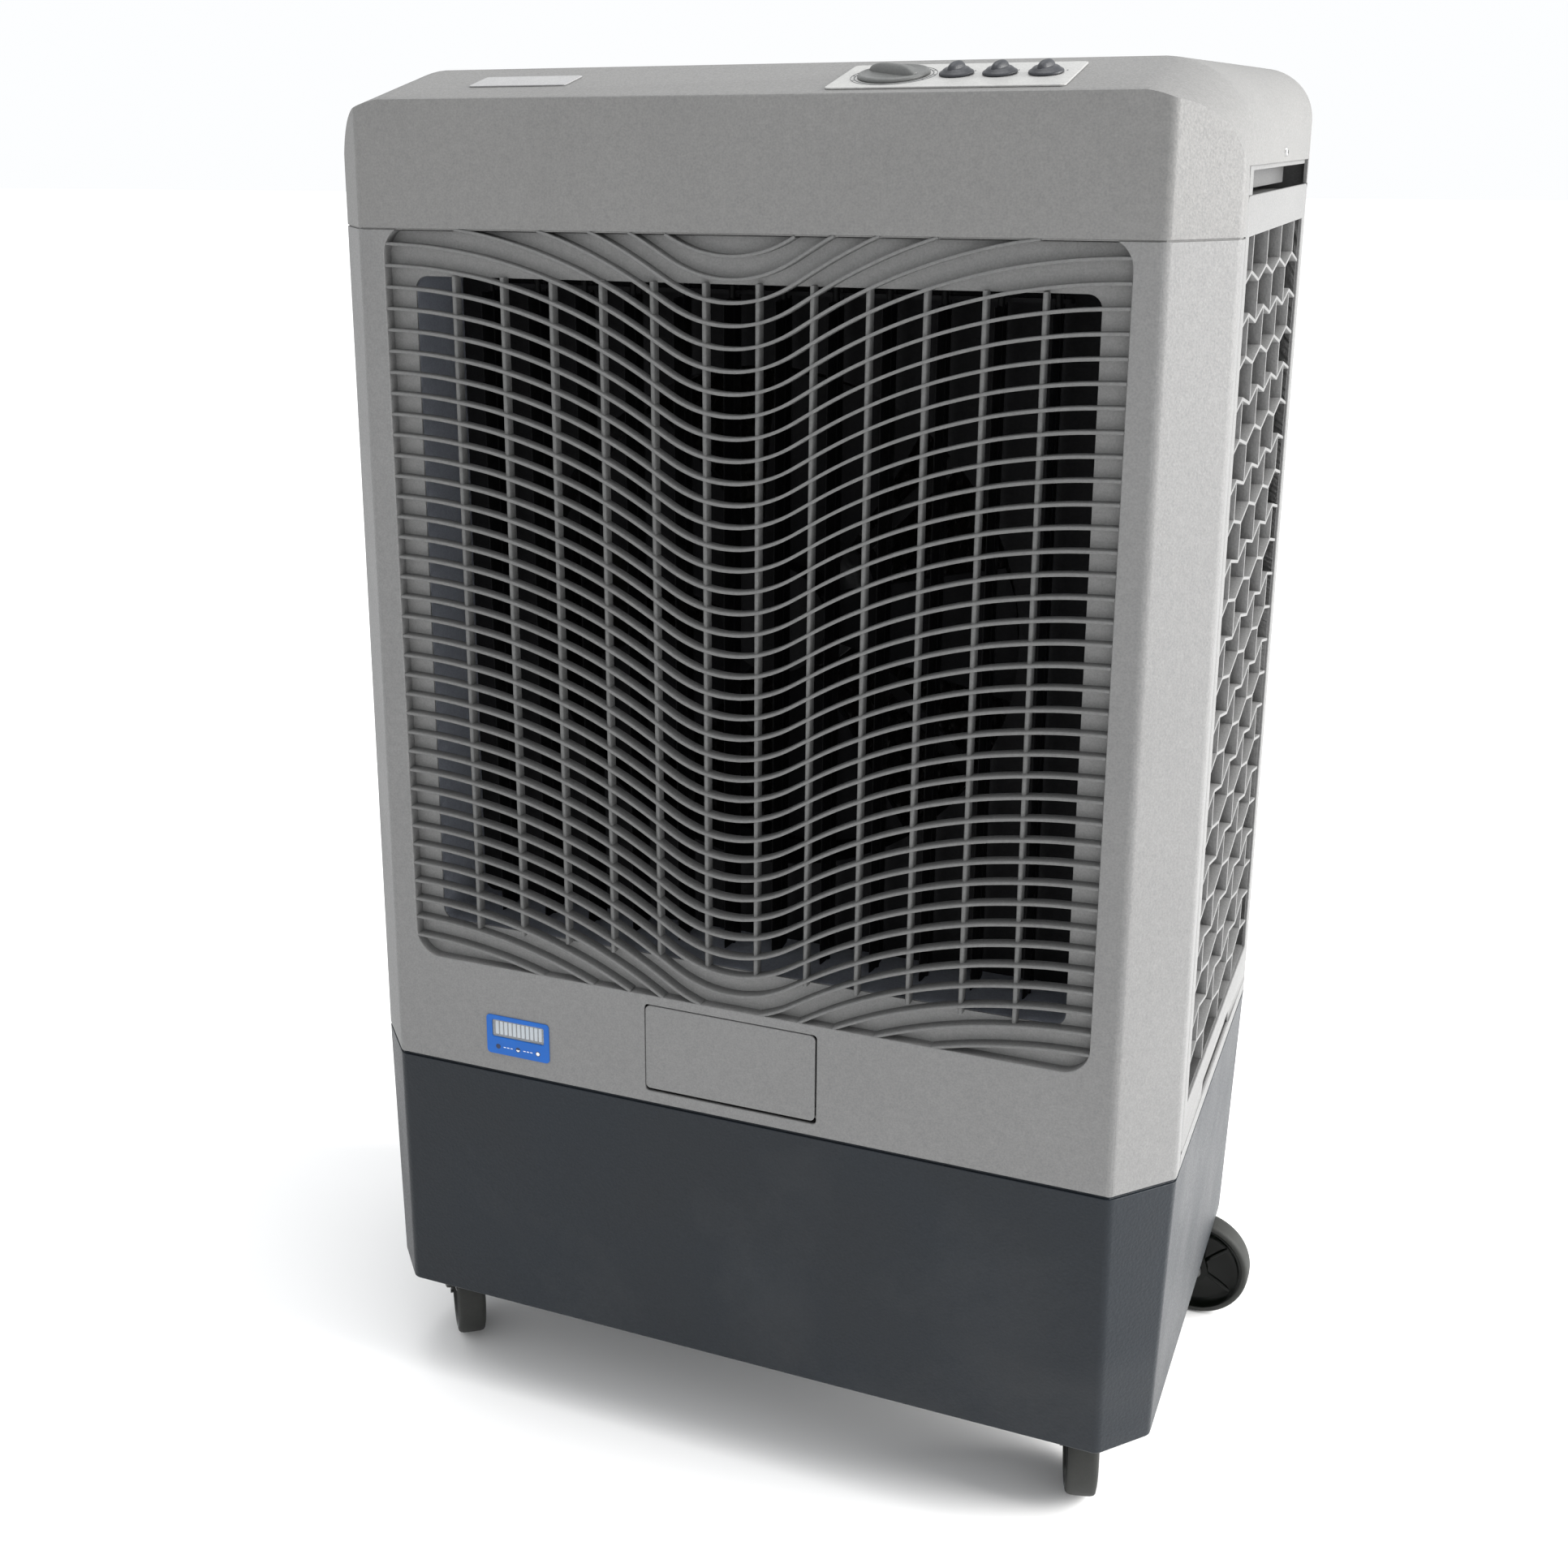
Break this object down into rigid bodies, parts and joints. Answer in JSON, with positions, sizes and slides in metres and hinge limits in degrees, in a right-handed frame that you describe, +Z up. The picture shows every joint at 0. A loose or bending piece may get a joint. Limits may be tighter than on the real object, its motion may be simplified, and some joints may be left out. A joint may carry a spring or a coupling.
{
  "type": "evaporative cooler",
  "caption": "Free-standing evaporative cooler: grey housing on a dark tank, wave outlet grille with swing louvres, zigzag pad grilles, dial and knobs, swivel castors.",
  "frame": {"origin": "on the floor under the middle of the machine's overall box", "axes": "+Z up, -Y out of the front (outlet grille side), +X to the viewer's right when facing the front"},
  "size_m": [0.918, 0.5312, 1.3963],
  "materials": {
    "housing_grey": "fine moulded texture",
    "tank_charcoal": "fine moulded texture",
    "panel_white": "satin",
    "badge_grey": "satin",
    "dial_grey": "satin",
    "knob_dark": "satin",
    "switch_black": "satin",
    "gauge_blue": "gloss",
    "gauge_clear": "clear",
    "gauge_white": "satin",
    "float_foam": "foam",
    "pad_media": "corrugated wet pad",
    "tray_black": "satin",
    "pump_black": "satin",
    "hose_clear": "satin",
    "fan_plastic": "satin",
    "motor_steel": "satin",
    "bracket_zinc": "zinc plated",
    "louvre_black": "satin",
    "caster_black": "gloss",
    "wheel_black": "satin",
    "brass": "turned",
    "plug_black": "satin",
    "screw_steel": "plated"
  },
  "bodies": {
    "housing": {"base_tank": "tank_charcoal", "chassis_frame": "housing_grey", "front_shell": "housing_grey", "front_grille": "housing_grey", "top_cover": "housing_grey", "control_plate": "panel_white", "badge_plate": "badge_grey", "level_bezel": "gauge_blue", "level_window": "gauge_clear", "rotary_switches": "switch_black", "water_distributor": "tray_black", "pump": "pump_black", "water_hose": "hose_clear", "fan_shroud": "tray_black", "fan_motor": "motor_steel", "motor_bracket": "bracket_zinc", "louvre_frame": "housing_grey", "swing_motor": "switch_black", "caster_plates": "bracket_zinc", "hose_inlet": "brass", "power_cord": "plug_black", "screws": "screw_steel"},
    "speed_dial": {"speed_dial": "dial_grey"},
    "pump_knob": {"pump_knob": "knob_dark"},
    "swing_knob": {"swing_knob": "knob_dark"},
    "timer_knob": {"timer_knob": "knob_dark"},
    "level_lever": {"level_lever": "gauge_white", "level_float": "float_foam"},
    "fill_door": {"fill_door": "housing_grey"},
    "pad_panel_right": {"pad_frame_right": "housing_grey", "pad_right": "pad_media"},
    "pad_panel_left": {"pad_frame_left": "housing_grey", "pad_left": "pad_media"},
    "pad_panel_rear": {"pad_frame_rear": "housing_grey", "pad_rear": "pad_media"},
    "fan_impeller": {"fan_impeller": "fan_plastic"},
    "louvre_01": {"louvre_01": "louvre_black"},
    "louvre_02": {"louvre_02": "louvre_black"},
    "louvre_03": {"louvre_03": "louvre_black"},
    "louvre_04": {"louvre_04": "louvre_black"},
    "louvre_05": {"louvre_05": "louvre_black"},
    "louvre_06": {"louvre_06": "louvre_black"},
    "louvre_07": {"louvre_07": "louvre_black"},
    "louvre_08": {"louvre_08": "louvre_black"},
    "louvre_09": {"louvre_09": "louvre_black"},
    "louvre_10": {"louvre_10": "louvre_black"},
    "louvre_11": {"louvre_11": "louvre_black"},
    "louvre_12": {"louvre_12": "louvre_black"},
    "tie_bar": {"tie_bar": "switch_black"},
    "swing_crank": {"swing_crank": "switch_black"},
    "caster_front_right": {"caster_fork_front_right": "caster_black"},
    "wheel_front_right": {"caster_wheel_front_right": "wheel_black"},
    "caster_front_left": {"caster_fork_front_left": "caster_black"},
    "wheel_front_left": {"caster_wheel_front_left": "wheel_black"},
    "caster_rear_right": {"caster_fork_rear_right": "caster_black"},
    "wheel_rear_right": {"caster_wheel_rear_right": "wheel_black"},
    "caster_rear_left": {"caster_fork_rear_left": "caster_black"},
    "wheel_rear_left": {"caster_wheel_rear_left": "wheel_black"},
    "valve_float": {"valve_float": "float_foam"},
    "drain_plug": {"drain_plug": "plug_black"}
  },
  "joints": [
    {"name": "speed_dial_turn", "type": "hinge", "parent": "housing", "child": "speed_dial", "pos_m": [0.13, -0.212, 1.37916], "axis": [0, -0.23, 0.9732], "range_deg": [-120, 120]},
    {"name": "pump_knob_turn", "type": "hinge", "parent": "housing", "child": "pump_knob", "pos_m": [0.1845, -0.212, 1.37916], "axis": [0, -0.23, 0.9732], "range_deg": [-90, 0]},
    {"name": "swing_knob_turn", "type": "hinge", "parent": "housing", "child": "swing_knob", "pos_m": [0.2215, -0.212, 1.37916], "axis": [0, -0.23, 0.9732], "range_deg": [-90, 0]},
    {"name": "timer_knob_turn", "type": "hinge", "parent": "housing", "child": "timer_knob", "pos_m": [0.26, -0.212, 1.37916], "axis": [0, -0.23, 0.9732], "range_deg": [-300, 0]},
    {"name": "level_lever_swing", "type": "hinge", "parent": "housing", "child": "level_lever", "pos_m": [-0.234, -0.25, 0.372], "axis": [0, 1, 0], "range_deg": [-25, 25]},
    {"name": "fill_door_open", "type": "hinge", "parent": "housing", "child": "fill_door", "pos_m": [0, -0.2604, 0.419], "axis": [1, 0, 0], "range_deg": [0, 75]},
    {"name": "pad_panel_right_out", "type": "slide", "parent": "housing", "child": "pad_panel_right", "axis": [1, 0, 0], "range_m": [0, 0.08]},
    {"name": "pad_panel_left_out", "type": "slide", "parent": "housing", "child": "pad_panel_left", "axis": [-1, 0, 0], "range_m": [0, 0.08]},
    {"name": "pad_panel_rear_out", "type": "slide", "parent": "housing", "child": "pad_panel_rear", "axis": [0, 1, 0], "range_m": [0, 0.08]},
    {"name": "fan_spin", "type": "hinge", "parent": "housing", "child": "fan_impeller", "pos_m": [0, -0.128, 0.881], "axis": [0, 1, 0], "continuous": true},
    {"name": "louvre_01_swing", "type": "hinge", "parent": "housing", "child": "louvre_01", "pos_m": [-0.275, -0.194, 0.881], "axis": [0, 0, 1], "range_deg": [-35, 35]},
    {"name": "louvre_02_swing", "type": "hinge", "parent": "housing", "child": "louvre_02", "pos_m": [-0.225, -0.194, 0.881], "axis": [0, 0, 1], "range_deg": [-35, 35]},
    {"name": "louvre_03_swing", "type": "hinge", "parent": "housing", "child": "louvre_03", "pos_m": [-0.175, -0.194, 0.881], "axis": [0, 0, 1], "range_deg": [-35, 35]},
    {"name": "louvre_04_swing", "type": "hinge", "parent": "housing", "child": "louvre_04", "pos_m": [-0.125, -0.194, 0.881], "axis": [0, 0, 1], "range_deg": [-35, 35]},
    {"name": "louvre_05_swing", "type": "hinge", "parent": "housing", "child": "louvre_05", "pos_m": [-0.075, -0.194, 0.881], "axis": [0, 0, 1], "range_deg": [-35, 35]},
    {"name": "louvre_06_swing", "type": "hinge", "parent": "housing", "child": "louvre_06", "pos_m": [-0.025, -0.194, 0.881], "axis": [0, 0, 1], "range_deg": [-35, 35]},
    {"name": "louvre_07_swing", "type": "hinge", "parent": "housing", "child": "louvre_07", "pos_m": [0.025, -0.194, 0.881], "axis": [0, 0, 1], "range_deg": [-35, 35]},
    {"name": "louvre_08_swing", "type": "hinge", "parent": "housing", "child": "louvre_08", "pos_m": [0.075, -0.194, 0.881], "axis": [0, 0, 1], "range_deg": [-35, 35]},
    {"name": "louvre_09_swing", "type": "hinge", "parent": "housing", "child": "louvre_09", "pos_m": [0.125, -0.194, 0.881], "axis": [0, 0, 1], "range_deg": [-35, 35]},
    {"name": "louvre_10_swing", "type": "hinge", "parent": "housing", "child": "louvre_10", "pos_m": [0.175, -0.194, 0.881], "axis": [0, 0, 1], "range_deg": [-35, 35]},
    {"name": "louvre_11_swing", "type": "hinge", "parent": "housing", "child": "louvre_11", "pos_m": [0.225, -0.194, 0.881], "axis": [0, 0, 1], "range_deg": [-35, 35]},
    {"name": "louvre_12_swing", "type": "hinge", "parent": "housing", "child": "louvre_12", "pos_m": [0.275, -0.194, 0.881], "axis": [0, 0, 1], "range_deg": [-35, 35]},
    {"name": "tie_bar_pivot", "type": "hinge", "parent": "louvre_01", "child": "tie_bar", "pos_m": [-0.275, -0.179, 1.195], "axis": [0, 0, 1], "range_deg": [-35, 35]},
    {"name": "swing_crank_turn", "type": "hinge", "parent": "housing", "child": "swing_crank", "pos_m": [0, -0.194, 1.201], "axis": [0, 0, 1], "range_deg": [-35, 35]},
    {"name": "caster_swivel_front_right", "type": "hinge", "parent": "housing", "child": "caster_front_right", "pos_m": [0.35, -0.189, 0.135], "axis": [0, 0, 1], "continuous": true},
    {"name": "wheel_spin_front_right", "type": "hinge", "parent": "caster_front_right", "child": "wheel_front_right", "pos_m": [0.34081, -0.15213, 0.059], "axis": [0.9703, 0.2419, 0], "continuous": true},
    {"name": "caster_swivel_front_left", "type": "hinge", "parent": "housing", "child": "caster_front_left", "pos_m": [-0.35, -0.189, 0.135], "axis": [0, 0, 1], "continuous": true},
    {"name": "wheel_spin_front_left", "type": "hinge", "parent": "caster_front_left", "child": "wheel_front_left", "pos_m": [-0.3718, -0.15787, 0.059], "axis": [0.8192, 0.5736, 0], "continuous": true},
    {"name": "caster_swivel_rear_right", "type": "hinge", "parent": "housing", "child": "caster_rear_right", "pos_m": [0.362, 0.205, 0.135], "axis": [0, 0, 1], "continuous": true},
    {"name": "wheel_spin_rear_right", "type": "hinge", "parent": "caster_rear_right", "child": "wheel_rear_right", "pos_m": [0.4, 0.205, 0.059], "axis": [0, -1, 0], "continuous": true},
    {"name": "caster_swivel_rear_left", "type": "hinge", "parent": "housing", "child": "caster_rear_left", "pos_m": [-0.362, 0.205, 0.135], "axis": [0, 0, 1], "continuous": true},
    {"name": "wheel_spin_rear_left", "type": "hinge", "parent": "caster_rear_left", "child": "wheel_rear_left", "pos_m": [-0.4, 0.205, 0.059], "axis": [0, 1, 0], "continuous": true},
    {"name": "valve_float_arm", "type": "hinge", "parent": "housing", "child": "valve_float", "pos_m": [-0.379, 0.155, 0.352], "axis": [0, 1, 0], "range_deg": [-20, 30]},
    {"name": "drain_plug_out", "type": "slide", "parent": "housing", "child": "drain_plug", "axis": [-1, 0, 0], "range_m": [0, 0.06]}
  ],
  "couplings": [
    {"joint": "louvre_02_swing", "follows": "louvre_01_swing", "ratio": 1},
    {"joint": "louvre_03_swing", "follows": "louvre_01_swing", "ratio": 1},
    {"joint": "louvre_04_swing", "follows": "louvre_01_swing", "ratio": 1},
    {"joint": "louvre_05_swing", "follows": "louvre_01_swing", "ratio": 1},
    {"joint": "louvre_06_swing", "follows": "louvre_01_swing", "ratio": 1},
    {"joint": "louvre_07_swing", "follows": "louvre_01_swing", "ratio": 1},
    {"joint": "louvre_08_swing", "follows": "louvre_01_swing", "ratio": 1},
    {"joint": "louvre_09_swing", "follows": "louvre_01_swing", "ratio": 1},
    {"joint": "louvre_10_swing", "follows": "louvre_01_swing", "ratio": 1},
    {"joint": "louvre_11_swing", "follows": "louvre_01_swing", "ratio": 1},
    {"joint": "louvre_12_swing", "follows": "louvre_01_swing", "ratio": 1},
    {"joint": "tie_bar_pivot", "follows": "louvre_01_swing", "ratio": -1},
    {"joint": "swing_crank_turn", "follows": "louvre_01_swing", "ratio": 1}
  ]
}
